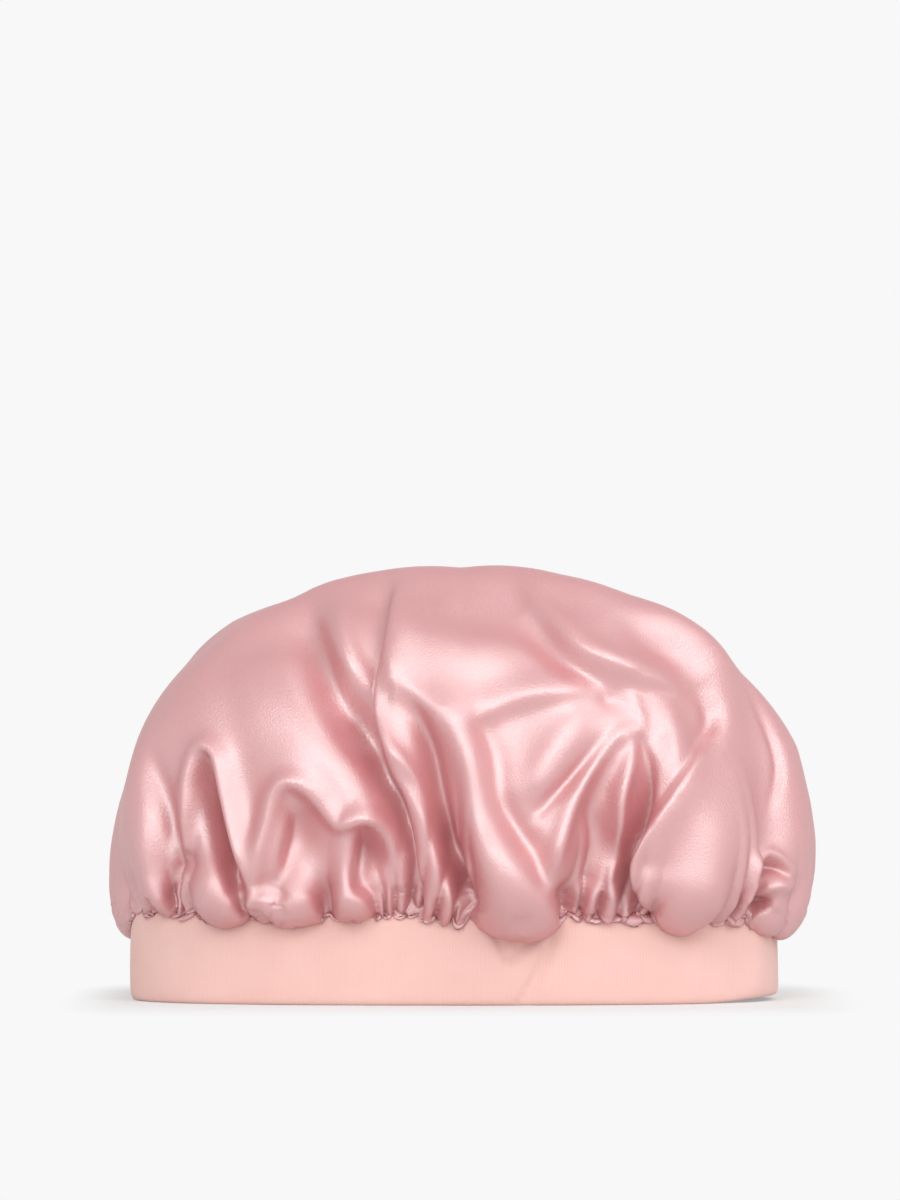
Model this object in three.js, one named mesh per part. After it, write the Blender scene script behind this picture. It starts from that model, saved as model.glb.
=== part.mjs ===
// Hair bonnet: a round satin crown with a satin lining, gathered into a folded jersey band that holds
// a flat elastic. The raw edges are overlocked together inside, along the top of the band.
// Millimetres, +Z up, -Y the front. The origin is on the floor, under the middle of the crown.
import * as THREE from "three";

// The band, as it stands relaxed on its hem.
const BAND_WIDTH = 236; // ear to ear, outside, at the hem
const BAND_DEPTH = 100; // front to back, outside, at the hem
const BAND_HEIGHT = 33; // hem fold to seam
const BAND_SQUARENESS = 2.5; // exponent of the oval, where 2 is an ellipse
const BAND_SET = -2.2; // the crown slumps to one side, so the band stands this far off its middle
const SEAM_DRAW = 2; // how far the gathering draws the band's top edge in, on each side
const HEM_ROUND = 1.2; // rounding of the hem fold, which stays flat between

// The crown above the band.
const OVERHANG_SIDE = 11.3; // past the band's hem at each ear
const OVERHANG_FRONT = 21; // past the band's hem at the front and the back
const CROWN_RISE = 125.5; // seam to top
const CROWN_WAIST = 17; // seam to the crown's widest level
const CROWN_SQUARENESS = 2.2; // exponent of the crown's oval
const ARCH_SQUARENESS = 2.1; // exponent of its arch
const COLLAR = 3; // height of the stitched edge that stands up inside the seam

// Cloth, drawn thicker than it is so that each layer is a solid of its own.
const SATIN = 1;
const LINING = 0.8;
const JERSEY = 1;
const ELASTIC = 1;
const ELASTIC_HEIGHT = 26;
const ELASTIC_BUTT = 0.4; // gap between the elastic's two butted ends
const ELASTIC_JOIN_FROM_BACK = 45; // kept clear of the band's own join, along the seam
const THREAD = 0.5;
const OVERLOCK = 1.2; // thickness of the overlocked edge
const OVERLOCK_HEIGHT = 7;
const GAP = 0.3; // clearance between layers that touch

// Stitches across the two joins: width to each side of the join, and stitch length.
const BAND_JOIN_REACH = 1.5;
const BAND_JOIN_STITCH = 3;
const ELASTIC_JOIN_REACH = 4;
const ELASTIC_JOIN_STITCH = 4;

// How finely the cloth is faceted: rings from the top down to the rim, each with one facet more in every
// sector than the ring above it.
const SECTORS = 8;
const DOME_RINGS = 8;
const ROLL_RINGS = 3;

// Puffs that droop over the band: angle round the seam and half width in degrees, droop as a share of
// PUFF_DROOP. -180 is the left end, -90 the middle of the front. The back has the same, turned half round.
const PUFF_DROOP = 10;
const PUFFS = [
  { at: -180, wide: 16, droop: 0.3 },
  { at: -153, wide: 7, droop: 0.1 },
  { at: -131, wide: 6, droop: 0.2 },
  { at: -119, wide: 6, droop: 0.4 },
  { at: -79, wide: 8, droop: 0.8 },
  { at: -50, wide: 8, droop: 0.6 },
  { at: -24, wide: 10, droop: 1.2 },
];

// Between the puffs the cloth is gathered tight, and slopes from the seam out to its full overhang.
const GATHER_RISE = 55; // height of that slope above the seam
const GATHER_FULLNESS = 0.55; // exponent of the slope, where 1 is straight and less is fuller

// Main folds of the front, as shares of FOLD_HEIGHT (minus for a valley) and of FOLD_REACH to each side,
// along a line of points [across, up], as shares of the crown's half width and of its rise. The back has
// the same, turned half round.
const FOLD_HEIGHT = 10;
const FOLD_REACH = 10;
const FOLDS = [
  { height: -1.1, reach: 0.8, line: [[-0.27, 0.6], [-0.24, 0.48], [-0.18, 0.32], [-0.15, 0.12]] },
  { height: -0.5, reach: 1.4, line: [[-0.42, 0.85], [-0.37, 0.65], [-0.3, 0.5]] },
  { height: 0.5, reach: 1.2, line: [[-0.17, 0.9], [-0.15, 0.71], [-0.03, 0.58]] },
  { height: 0.8, reach: 1.2, line: [[0.02, 0.45], [0.06, 0.3], [0.12, 0.12]] },
  { height: -0.7, reach: 0.6, line: [[-0.06, 0.58], [-0.03, 0.4], [-0.02, 0.2]] },
  { height: -0.9, reach: 0.8, line: [[-0.71, 0.45], [-0.68, 0.25], [-0.62, 0.09]] },
  { height: -0.6, reach: 0.9, line: [[-0.46, 0.33], [-0.43, 0.2], [-0.46, 0.06]] },
  { height: -0.5, reach: 1.2, line: [[0.08, 0.54], [0.11, 0.38], [0.15, 0.22], [0.24, 0.1]] },
  { height: -0.6, reach: 1.6, line: [[-0.25, 0.92], [0.3, 0.92]] },
  { height: 0.4, reach: 0.9, line: [[0.25, 0.84], [0.32, 0.76], [0.43, 0.71], [0.58, 0.65]] },
  { height: -0.9, reach: 1, line: [[0.51, 0.47], [0.52, 0.32], [0.49, 0.2], [0.48, 0.12]] },
  { height: -1, reach: 1.5, line: [[0.72, 0.62], [0.82, 0.52], [0.9, 0.38]] },
  { height: 0.6, reach: 1.6, line: [[0.66, 0.42], [0.74, 0.24], [0.66, 0.09]] },
  { height: -0.6, reach: 0.9, line: [[0.87, 0.16], [0.82, 0.09], [0.78, 0.03]] },
];
const FOLD_FREE_EDGE = 0.35; // share of the half depth, at each ear, over which the folds die out
const FOLD_FREE_TOP = 0.95; // share of the rise above which the folds die out

// What follows from the sizes above.
const CROWN_WIDTH = BAND_WIDTH + 2 * OVERHANG_SIDE;
const CROWN_DEPTH = BAND_DEPTH + 2 * OVERHANG_FRONT;
const POCKET = GAP + ELASTIC + GAP + THREAD + GAP; // room inside the folded band
const BAND_THICK = JERSEY + POCKET + JERSEY;
const SEAM = BAND_HEIGHT + GAP; // where the crown's edge stands on the band
const ELASTIC_OUT = JERSEY + GAP;
const STITCH_OUT = ELASTIC_OUT + ELASTIC + GAP;
const LINING_OUT = SATIN + GAP;
const OVERLOCK_OUT = LINING_OUT + LINING + GAP;
const NEEDLE_OUT = OVERLOCK_OUT + OVERLOCK + GAP;
const POCKET_FLOOR = JERSEY + HEM_ROUND;
const RINGS = DOME_RINGS + ROLL_RINGS + 1;

// A rounded oval in plan, from the left end round the front, counter-clockwise seen from above.
class Oval extends THREE.Curve {
  constructor(width, depth, squareness, centre) {
    super();
    Object.assign(this, { width, depth, squareness, centre });
    this.arcLengthDivisions = 2000;
  }

  getPoint(t, target = new THREE.Vector3()) {
    const angle = 2 * Math.PI * t - Math.PI;
    const across = Math.cos(angle);
    const along = Math.sin(angle);
    const sum = Math.abs(across) ** this.squareness + Math.abs(along) ** this.squareness;
    const reach = sum ** (-1 / this.squareness) / 2;
    return target.set(this.centre + this.width * across * reach, this.depth * along * reach, 0);
  }

  // The point at t, moved outwards by an offset square to the oval, at height z.
  outside(t, offset, z) {
    const tangent = this.getTangent(t);
    const out = new THREE.Vector3(tangent.y, -tangent.x, 0);
    return this.getPoint(t).addScaledVector(out, offset).setZ(z);
  }
}

const hemOval = new Oval(BAND_WIDTH, BAND_DEPTH, BAND_SQUARENESS, BAND_SET);
const crownOval = new Oval(CROWN_WIDTH, CROWN_DEPTH, CROWN_SQUARENESS, 0);
const archOval = new Oval(CROWN_WIDTH, 2 * (CROWN_RISE - CROWN_WAIST), ARCH_SQUARENESS, 0);
const ARCH_FOOT = 0.5; // shares of the way round an oval, from its left end
const BACK_MIDDLE = 0.75;

// Places round a ring of the crown, evenly spaced. The band's rings use those of the crown's rim.
const columns = (ring) => {
  const count = SECTORS * ring;
  return Array.from({ length: count }, (_, i) => crownOval.getUtoTmapping(i / count));
};
const COLUMNS = columns(RINGS);

// The band leans in from the hem to the seam.
const lean = (z) => (-SEAM_DRAW * Math.min(z, BAND_HEIGHT)) / BAND_HEIGHT;

// A point of the band's pieces: depth is how far inside the outer face it lies.
const bandPoint = (t, depth, z) => hemOval.outside(t, lean(z) - depth, z);

function solid(points, triangles) {
  const geometry = new THREE.BufferGeometry().setFromPoints(points);
  geometry.setIndex(triangles.flat());
  geometry.computeVertexNormals();
  return geometry;
}

const quad = (a, b, c, d) => [a, b, c, a, c, d];

// A section of [depth, z] points carried round the band, closed on itself or capped at its two ends.
function sweep(section, stations, closed) {
  const count = section.length;
  const points = stations.flatMap((t) => section.map(([depth, z]) => bandPoint(t, depth, z)));
  const triangles = [];
  const spans = closed ? stations.length : stations.length - 1;
  for (let i = 0; i < spans; i++) {
    const here = i * count;
    const next = ((i + 1) % stations.length) * count;
    for (let j = 0; j < count; j++) {
      const up = (j + 1) % count;
      triangles.push(quad(here + j, next + j, next + up, here + up));
    }
  }
  if (!closed) {
    const flat = section.map(([depth, z]) => new THREE.Vector2(depth, z));
    const last = spans * count;
    for (const [a, b, c] of THREE.ShapeUtils.triangulateShape(flat, [])) {
      triangles.push([c, b, a], [last + a, last + b, last + c]);
    }
  }
  return solid(points, triangles);
}

const rectangle = (depth, thick, low, high) => [
  [depth + thick, low],
  [depth, low],
  [depth, high],
  [depth + thick, high],
];

// The jersey strip, folded along the hem into a deep U with a flat foot.
function bandSection() {
  const middle = (HEM_ROUND + BAND_HEIGHT) / 2;
  const outer = [[0, HEM_ROUND], [0, middle], [0, BAND_HEIGHT]];
  const pocket = [[JERSEY, BAND_HEIGHT], [JERSEY, POCKET_FLOOR]];
  const mirrored = [...outer, ...pocket].reverse().map(([depth, z]) => [BAND_THICK - depth, z]);
  return [[HEM_ROUND, 0], ...outer, ...pocket, ...mirrored, [BAND_THICK - HEM_ROUND, 0]];
}

// The elastic goes round inside the fold, its ends butted together to one side of the back.
function elasticStations() {
  const length = hemOval.getLength();
  const join = BACK_MIDDLE + ELASTIC_JOIN_FROM_BACK / length;
  const half = ELASTIC_BUTT / 2 / length;
  const inside = COLUMNS.filter((t) => {
    const share = (hemOval.getUtoTmapping(join) - t + 1) % 1;
    return share > 0.004 && share < 0.996;
  });
  const start = hemOval.getUtoTmapping(join + half);
  const end = hemOval.getUtoTmapping(join - half);
  const after = inside.filter((t) => t > start);
  const before = inside.filter((t) => t < end);
  return [start, ...after, ...before, end];
}

// A zigzag of thread up a join, flat on the layer outside it. It is drawn as a ribbon and bent to the band.
function zigzag(fromBack, reach, stitch, low, high) {
  const count = Math.max(2, Math.round((high - low) / stitch));
  const left = [];
  const right = [];
  for (let i = 0; i <= count; i++) {
    const z = low + ((high - low) * i) / count;
    const side = (i % 2 ? reach : -reach) - THREAD / 2;
    left.push(new THREE.Vector2(side, z));
    right.unshift(new THREE.Vector2(side + THREAD, z));
  }
  const ribbon = new THREE.Shape([...left, ...right]);
  const geometry = new THREE.ExtrudeGeometry(ribbon, { depth: THREAD, bevelEnabled: false });
  const place = geometry.getAttribute("position");
  const length = hemOval.getLength();
  for (let i = 0; i < place.count; i++) {
    const share = BACK_MIDDLE + (fromBack + place.getX(i)) / length;
    const at = bandPoint(hemOval.getUtoTmapping(share), STITCH_OUT + THREAD - place.getZ(i), place.getY(i));
    place.setXYZ(i, at.x, at.y, at.z);
  }
  return geometry;
}

// Smallest difference between two angles in degrees.
const turn = (a, b) => Math.abs(((((a - b) % 360) + 540) % 360) - 180);

// How far the cloth droops below the seam at t.
function droopAt(t) {
  const angle = 360 * t - 180;
  const bump = ({ at, wide, droop }) => {
    const off = Math.min(turn(angle, at), turn(angle, at + 180)) / wide;
    return PUFF_DROOP * droop * Math.exp(-off * off);
  };
  return PUFFS.reduce((sum, puff) => sum + bump(puff), 0);
}

// How free the cloth hangs at t: 1 in the middle of a puff, 0 where it is gathered tight.
function fullnessAt(t) {
  const angle = 360 * t - 180;
  const fullness = ({ at, wide }) => {
    const off = Math.min(turn(angle, at), turn(angle, at + 180)) / wide;
    return Math.exp(-(off ** 4));
  };
  return Math.max(...PUFFS.map(fullness));
}

// A point of the crown before folding, on a ring counted from the top: the dome down to the widest level,
// then the roll over the band, then the stitched collar.
function crownPoint(ring, t) {
  const wide = crownOval.getPoint(t);
  const seam = bandPoint(t, 0, BAND_HEIGHT).setZ(SEAM);
  if (ring === RINGS) return seam;
  const level = BAND_HEIGHT + CROWN_WAIST;
  const top = SEAM + COLLAR;
  const full = fullnessAt(t);
  const slope = (z) => Math.min(Math.max((z - top) / GATHER_RISE, 0), 1) ** GATHER_FULLNESS;
  if (ring <= DOME_RINGS) {
    const climb = (1 - ring / DOME_RINGS) * (BACK_MIDDLE - ARCH_FOOT);
    const arch = archOval.getPointAt(ARCH_FOOT + climb);
    const z = level + arch.y;
    wide.multiplyScalar(arch.x / (CROWN_WIDTH / 2));
    return seam.lerp(wide, full + (1 - full) * slope(z)).setZ(z);
  }
  const share = (RINGS - 1 - ring) / ROLL_RINGS;
  const dip = (2 * COLLAR * full + droopAt(t)) * Math.sin(Math.PI * share);
  const z = top + (level - top) * share ** (1 + full) - dip;
  return seam.lerp(wide, full * Math.sin((Math.PI / 2) * share) + (1 - full) * slope(z)).setZ(z);
}

// The crown's outer face, from the top to the rim.
function crownFace() {
  const points = [crownPoint(0, 0)];
  const rings = [0];
  const triangles = [];
  const first = (ring) => (ring ? 1 + (SECTORS * ring * (ring - 1)) / 2 : 0);
  const at = (ring, place) => first(ring) + (ring ? place % (SECTORS * ring) : 0);
  for (let ring = 1; ring <= RINGS; ring++) {
    for (const t of columns(ring)) {
      points.push(crownPoint(ring, t));
      rings.push(ring);
    }
    for (let sector = 0; sector < SECTORS; sector++) {
      for (let i = 0; i < ring; i++) {
        const low = sector * ring + i;
        const high = sector * (ring - 1) + i;
        triangles.push([at(ring - 1, high), at(ring, low), at(ring, low + 1)]);
        if (i) triangles.push([at(ring - 1, high - 1), at(ring, low), at(ring - 1, high)]);
      }
    }
  }
  return { points, rings, triangles };
}

// Fold lines in millimetres across and above the seam.
const foldLines = FOLDS.map(({ height, reach, line }) => {
  const places = line.map(([across, up]) => new THREE.Vector3((across * CROWN_WIDTH) / 2, up * CROWN_RISE, 0));
  const pieces = places.slice(1).map((place, i) => new THREE.Line3(places[i], place));
  return { height: height * FOLD_HEIGHT, reach: reach * FOLD_REACH, pieces };
});

// Signed height of the folds at a point of the plain crown.
function foldAt(point) {
  const facing = point.y < 0 ? 1 : -1;
  const here = new THREE.Vector3(facing * point.x, point.z - BAND_HEIGHT, 0);
  const nearest = new THREE.Vector3();
  let total = 0;
  for (const { height, reach, pieces } of foldLines) {
    const distances = pieces.map((piece) => piece.closestPointToPoint(here, true, nearest).distanceTo(here));
    total += height * Math.exp(-((Math.min(...distances) / reach) ** 2));
  }
  const edge = Math.abs(point.y) / ((FOLD_FREE_EDGE * CROWN_DEPTH) / 2);
  const below = (1 - here.y / CROWN_RISE) / (1 - FOLD_FREE_TOP);
  return total * THREE.MathUtils.smoothstep(edge, 0, 1) * THREE.MathUtils.smoothstep(below, 0, 1);
}

// The face with its folds pressed in, square to the plain crown. The stitched collar stays as it is.
function foldedFace() {
  const face = crownFace();
  const normals = solid(face.points, face.triangles).getAttribute("normal");
  const points = face.points.map((point, index) => {
    const free = THREE.MathUtils.smoothstep(RINGS - 1 - face.rings[index], 0, ROLL_RINGS);
    const normal = new THREE.Vector3().fromBufferAttribute(normals, index);
    return point.clone().addScaledVector(normal, free * foldAt(point));
  });
  return { ...face, points };
}

// A layer of cloth between two depths inside the crown's face, open at the rim.
function layer(face, outer, inner) {
  const normals = solid(face.points, face.triangles).getAttribute("normal");
  const inset = (depth) =>
    face.points.map((point, index) => {
      const normal = new THREE.Vector3().fromBufferAttribute(normals, index);
      return point.clone().addScaledVector(normal, -depth);
    });
  const shift = face.points.length;
  const inside = face.triangles.flat().reverse().map((index) => index + shift);
  const edge = SECTORS * RINGS;
  const first = shift - edge;
  const rim = [];
  for (let i = 0; i < edge; i++) {
    const here = first + i;
    const next = first + ((i + 1) % edge);
    rim.push(quad(here + shift, next + shift, next, here));
  }
  return solid([...inset(outer), ...inset(inner)], [...face.triangles, inside, ...rim]);
}

const satin = (colour) => new THREE.MeshStandardMaterial({ color: colour, roughness: 0.32, metalness: 0 });
const matte = (colour) => new THREE.MeshStandardMaterial({ color: colour, roughness: 0.9, metalness: 0 });
const PINK = 0xe6b3b4;
const PEACH = 0xf6cabf;
const IVORY = 0xf2e6dc;
const PINK_THREAD = 0xe0a5a6;

const bonnet = new THREE.Group();

function add(name, geometry, material) {
  const mesh = new THREE.Mesh(geometry, material);
  mesh.name = name;
  bonnet.add(mesh);
}

const face = foldedFace();
const pocketTop = POCKET_FLOOR + GAP + ELASTIC_HEIGHT;
const needleLow = SEAM + THREAD;
const needle = rectangle(NEEDLE_OUT, THREAD, needleLow, needleLow + THREAD);
const overlock = rectangle(OVERLOCK_OUT, OVERLOCK, SEAM, SEAM + OVERLOCK_HEIGHT);
const elastic = rectangle(ELASTIC_OUT, ELASTIC, POCKET_FLOOR + GAP, pocketTop);

add("crown_satin", layer(face, 0, SATIN), satin(PINK));
add("crown_lining", layer(face, LINING_OUT, LINING_OUT + LINING), satin(PINK));
add("band_jersey", sweep(bandSection(), COLUMNS, true), matte(PEACH));
add("band_elastic", sweep(elastic, elasticStations(), false), matte(IVORY));
add("overlock_edge", sweep(overlock, COLUMNS, true), matte(PINK_THREAD));
add("seam_needle_thread", sweep(needle, COLUMNS, true), matte(PINK_THREAD));
add(
  "band_join_stitches",
  zigzag(0, BAND_JOIN_REACH, BAND_JOIN_STITCH, POCKET_FLOOR + GAP, BAND_HEIGHT - GAP),
  matte(PEACH),
);
add(
  "elastic_join_stitches",
  zigzag(ELASTIC_JOIN_FROM_BACK, ELASTIC_JOIN_REACH, ELASTIC_JOIN_STITCH, POCKET_FLOOR + 2 * GAP, pocketTop - GAP),
  matte(IVORY),
);

export default bonnet;
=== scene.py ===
"""A satin hair bonnet, standing on its hem in a pale studio. Metres, +Z up, -Y the front."""

import math

import bpy
import numpy as np
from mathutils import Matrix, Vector


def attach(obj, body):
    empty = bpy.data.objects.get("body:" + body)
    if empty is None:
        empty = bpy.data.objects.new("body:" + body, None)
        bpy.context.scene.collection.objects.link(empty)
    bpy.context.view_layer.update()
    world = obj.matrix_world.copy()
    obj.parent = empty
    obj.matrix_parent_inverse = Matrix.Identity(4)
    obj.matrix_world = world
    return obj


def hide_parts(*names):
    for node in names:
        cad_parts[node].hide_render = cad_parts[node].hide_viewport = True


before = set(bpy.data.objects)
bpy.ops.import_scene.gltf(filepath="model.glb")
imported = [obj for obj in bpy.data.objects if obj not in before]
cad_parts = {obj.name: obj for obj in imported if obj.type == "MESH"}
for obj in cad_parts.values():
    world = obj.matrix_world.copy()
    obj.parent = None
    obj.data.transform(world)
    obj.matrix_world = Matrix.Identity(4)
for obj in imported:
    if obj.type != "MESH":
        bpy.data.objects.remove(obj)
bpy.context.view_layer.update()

# The elastic: a flat ivory woven elastic, 26 mm high, cut a little short and butted into a ring.
# A zigzag of ivory thread joins its ends. It lies inside the folded band and draws the opening in.
MM = 0.001
ELASTIC_IVORY = "#f2e6dc"
ELASTIC_GROOVE_SHADE = "#d9cabd"
ELASTIC_RIB = 1.3


def linear(hex_colour):
    """An sRGB hex colour as linear red, green, blue and alpha."""
    parts = [int(hex_colour[i : i + 2], 16) / 255 for i in (1, 3, 5)]
    return [c / 12.92 if c <= 0.04045 else ((c + 0.055) / 1.055) ** 2.4 for c in parts] + [1.0]


def new_material(name):
    """A material and its node tree, still empty."""
    material = bpy.data.materials.new(name)
    material.use_nodes = True
    material.node_tree.nodes.clear()
    return material, material.node_tree


def add_node(tree, kind, settings={}, links={}):
    """Adds a node, sets its properties and sockets by name, and links other nodes' outputs to it."""
    node = tree.nodes.new(kind)
    for name, value in settings.items():
        if isinstance(name, str) and hasattr(node, name):
            setattr(node, name, value)
        else:
            node.inputs[name].default_value = value
    for name, output in links.items():
        tree.links.new(output, node.inputs[name])
    return node


def finish_node(node, material):
    """Gives a CAD node's own mesh this material and no other."""
    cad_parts[node].data.materials.clear()
    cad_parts[node].data.materials.append(material)


# Woven elastic: rubber cores covered in yarn, so it is matt, with fine ribs along its length.
woven_elastic, tree = new_material("woven_elastic")
place = add_node(tree, "ShaderNodeTexCoord")
ribs = add_node(
    tree,
    "ShaderNodeTexWave",
    {"bands_direction": "Z", "Scale": math.pi / (10 * ELASTIC_RIB * MM), "Distortion": 0.4},
    {"Vector": place.outputs["Object"]},
)
# The colour is painted darker in the grooves between the ribs: painted shade.
shade = add_node(
    tree,
    "ShaderNodeMix",
    {"data_type": "RGBA", 6: linear(ELASTIC_GROOVE_SHADE), 7: linear(ELASTIC_IVORY)},
    {"Factor": ribs.outputs["Fac"]},
)
relief = add_node(
    tree, "ShaderNodeBump", {"Strength": 0.5, "Distance": 0.3 * MM}, {"Height": ribs.outputs["Fac"]}
)
surface = add_node(
    tree,
    "ShaderNodeBsdfPrincipled",
    {"Roughness": 0.8, "IOR": 1.5, "Sheen Weight": 0.15},
    {"Base Color": shade.outputs[2], "Normal": relief.outputs["Normal"]},
)
add_node(tree, "ShaderNodeOutputMaterial", {}, {"Surface": surface.outputs["BSDF"]})
finish_node("band_elastic", woven_elastic)

# The twist of sewing thread repeats about every 0.4 mm.
THREAD_TWIST = 0.4


def spun_thread(name, colour, dark):
    """Polyester sewing thread: spun and twisted, so it has a low shine and a fine twist."""
    material, tree = new_material(name)
    place = add_node(tree, "ShaderNodeTexCoord")
    twist = add_node(
        tree,
        "ShaderNodeTexNoise",
        {"Scale": 1 / (THREAD_TWIST * MM), "Detail": 2.0},
        {"Vector": place.outputs["Object"]},
    )
    shade = add_node(
        tree,
        "ShaderNodeMix",
        {"data_type": "RGBA", 6: linear(dark), 7: linear(colour)},
        {"Factor": twist.outputs["Fac"]},
    )
    relief = add_node(
        tree, "ShaderNodeBump", {"Strength": 0.4, "Distance": 0.1 * MM}, {"Height": twist.outputs["Fac"]}
    )
    surface = add_node(
        tree,
        "ShaderNodeBsdfPrincipled",
        {"Roughness": 0.55, "IOR": 1.55, "Sheen Weight": 0.1},
        {"Base Color": shade.outputs[2], "Normal": relief.outputs["Normal"]},
    )
    add_node(tree, "ShaderNodeOutputMaterial", {}, {"Surface": surface.outputs["BSDF"]})
    return material


IVORY_TWIST = "#cdbfb2"
ivory_thread = spun_thread("ivory_polyester_thread", ELASTIC_IVORY, IVORY_TWIST)
finish_node("elastic_join_stitches", ivory_thread)

# The band: a strip of peach cotton and elastane jersey, folded lengthwise round the elastic.
# Its ends are sewn together at the back, and its two raw edges stand up into the crown's seam.
BAND_WIDTH = 236.0
BAND_DEPTH = 100.0
BAND_HEIGHT = 33.0
BAND_SQUARENESS = 2.5
# The band stands a little to the left of the crown's middle.
BAND_SET = -2.2
BAND_COLUMNS = 560
BAND_ROW = 1.1
JERSEY_DARK_AND_GROOVE_SHADE = "#e7b8ae"
JERSEY_LIGHT = "#f3cec6"
JERSEY_WALE = 1.0
JERSEY_LINT = 0.9
JERSEY_MOTTLE = 16.0


def oval(angle, width, depth, squareness):
    """Points of a rounded oval: -pi is the left end, -pi / 2 the middle of the front."""
    across, along = np.cos(angle), np.sin(angle)
    reach = (np.abs(across) ** squareness + np.abs(along) ** squareness) ** (-1 / squareness) / 2
    return width * across * reach, depth * along * reach


def arc_shares(*lines):
    """Share of the way along a line of points, from 0 to 1, and its length."""
    steps = np.sqrt(sum(np.diff(line) ** 2 for line in lines))
    length = np.concatenate([[0], np.cumsum(steps)])
    return length / length[-1], length[-1]


def smooth(t, low=0.0, high=1.0):
    """A soft step, from 0 at the low value to 1 at the high one."""
    t = np.clip((t - low) / (high - low), 0, 1)
    return t * t * (3 - 2 * t)


def curve_through(points, steps=6):
    """A smooth line through points of any number of coordinates."""
    p = np.asarray(points, float)
    p = np.vstack([2 * p[0] - p[1], p, 2 * p[-1] - p[-2]])
    t = np.linspace(0, 1, steps, endpoint=False)[:, None]
    out = []
    for a, b, c, d in zip(p, p[1:], p[2:], p[3:]):
        bend = (2 * a - 5 * b + 4 * c - d) * t**2 + (3 * b - a - 3 * c + d) * t**3
        out.append(0.5 * (2 * b + (c - a) * t + bend))
    return np.vstack(out + [p[-2:-1]])


# Keeps the nearness to a fold's line finite on the line itself, in square millimetres.
ON_LINE = 0.3


def fold_height(x, z, reach, line):
    """Height of one fold at points (x, z). Its line has points of (x, z, height); its reach is
    given to the left and right of a line that goes down, or below and above one that goes right."""
    p = curve_through(line)
    total = np.zeros_like(x)
    weights = np.zeros_like(x)
    for (ax, az, ah), (bx, bz, bh) in zip(p, p[1:]):
        dx, dz = bx - ax, bz - az
        t = np.clip(((x - ax) * dx + (z - az) * dz) / (dx * dx + dz * dz + 1e-9), 0, 1)
        distance = np.hypot(x - ax - t * dx, z - az - t * dz)
        side = np.where(dx * (z - az) - dz * (x - ax) > 0, reach[1], reach[0])
        nearness = 1 / (distance * distance + ON_LINE)
        nearness = nearness * nearness
        nearness = nearness * nearness
        total += nearness * (ah + t * (bh - ah)) * np.exp(-((distance / side) ** 2))
        weights += nearness
    return total / weights


def mesh_piece(name, points, faces, material):
    """A smooth mesh from points in mm, in the part's frame."""
    mesh = bpy.data.meshes.new(name)
    mesh.from_pydata((np.asarray(points) * MM).tolist(), [], np.asarray(faces).tolist())
    mesh.shade_smooth()
    mesh.materials.append(material)
    piece = bpy.data.objects.new(name, mesh)
    bpy.context.scene.collection.objects.link(piece)
    return piece


# The strip's section: how far in from the band's outer oval, and how high.
BAND_SECTION = [
    (4.2, 39.5),
    (3.4, 36),
    (2.3, 33.6),
    (1.0, 31.5),
    (0.3, 27),
    (0, 20),
    (-0.2, 9),
    (-0.1, 3),
    (0.5, 0.7),
    (1.6, 0),
    (2.8, 0),
    (3.9, 0.7),
    (4.4, 3),
    (4.4, 9),
    (4.4, 20),
    (4.5, 30),
    (4.6, 36),
    (4.7, 39.5),
]
# Creases in the outer face: their reach to each side, then points of x, height and relief, which is
# less than 0 in a dent. They lie under the middle puff, with soft folds to the right and left.
BAND_CREASES = [
    ((2.2, 1.4), [(12, 27, -1.3), (15, 21, -1.6), (17, 16.5, -1.0)]),
    ((1.8, 2.4), [(29, 27, -1.3), (23, 21.5, -1.5), (17, 16.5, -0.9)]),
    ((1.6, 3.0), [(34, 27, -1.5), (31, 20, -2.0), (26, 9, -1.9), (21, 1, -1.0)]),
    ((3.0, 3.0), [(25, 24, 0.5), (21, 15, 0.6), (18, 6, 0.3)]),
    ((3.5, 5.0), [(98, 30, -0.5), (100, 18, -0.9), (99, 4, -0.6)]),
    ((4.0, 2.5), [(88, 28, 0.2), (86, 16, 0.5), (85, 4, 0.4)]),
    ((2.5, 4.0), [(106, 28, 0.4), (108, 17, 0.6), (107, 5, 0.5)]),
    ((7.0, 7.0), [(-62, 29, -0.3), (-72, 16, -0.5), (-80, 3, -0.3)]),
    ((6.0, 8.0), [(-22, 29, -0.5), (-26, 18, -0.4), (-40, 4, -0.3)]),
]
# The back has the same creases turned round, moved by this much.
BACK_SHIFT = 1.32
# They fade where the section turns in from the outer face.
FACE_IN, FACE_OUT = 3.6, 0.6
# The elastic draws the strip into slack waves: how high, how many round the band, and where they start.
SLACK_WAVE, SLACK_WAVES, SLACK_START = 0.35, 7, 1.1
SLACK_RIPPLE, SLACK_RIPPLES, RIPPLE_START = 0.2, 16, 0.4
# The hem lifts off the floor at the right end: how far, between which places, and up to what height.
HEM_LIFT = 1.9
LIFT_FROM, LIFT_TO, LIFT_TALL = 85.0, 116.0, 20.0
round_angles = np.linspace(-np.pi, np.pi, 4001)
seam_x, seam_y = oval(round_angles, BAND_WIDTH, BAND_DEPTH, BAND_SQUARENESS)
seam_shares, SEAM_GIRTH = arc_shares(seam_x, seam_y)
section = curve_through(BAND_SECTION, 8)
section_shares, section_length = arc_shares(section[:, 0], section[:, 1])
rows = round(section_length / BAND_ROW)
inset = np.interp(np.linspace(0, 1, rows), section_shares, section[:, 0])
high = np.interp(np.linspace(0, 1, rows), section_shares, section[:, 1])
share = np.arange(BAND_COLUMNS) / BAND_COLUMNS
turn = np.interp(share, seam_shares, round_angles)
turn, inset = np.meshgrid(turn, inset, indexing="ij")
high = np.broadcast_to(high, turn.shape)
x, y = oval(turn, BAND_WIDTH - 2 * inset, BAND_DEPTH - 2 * inset, BAND_SQUARENESS)
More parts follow.
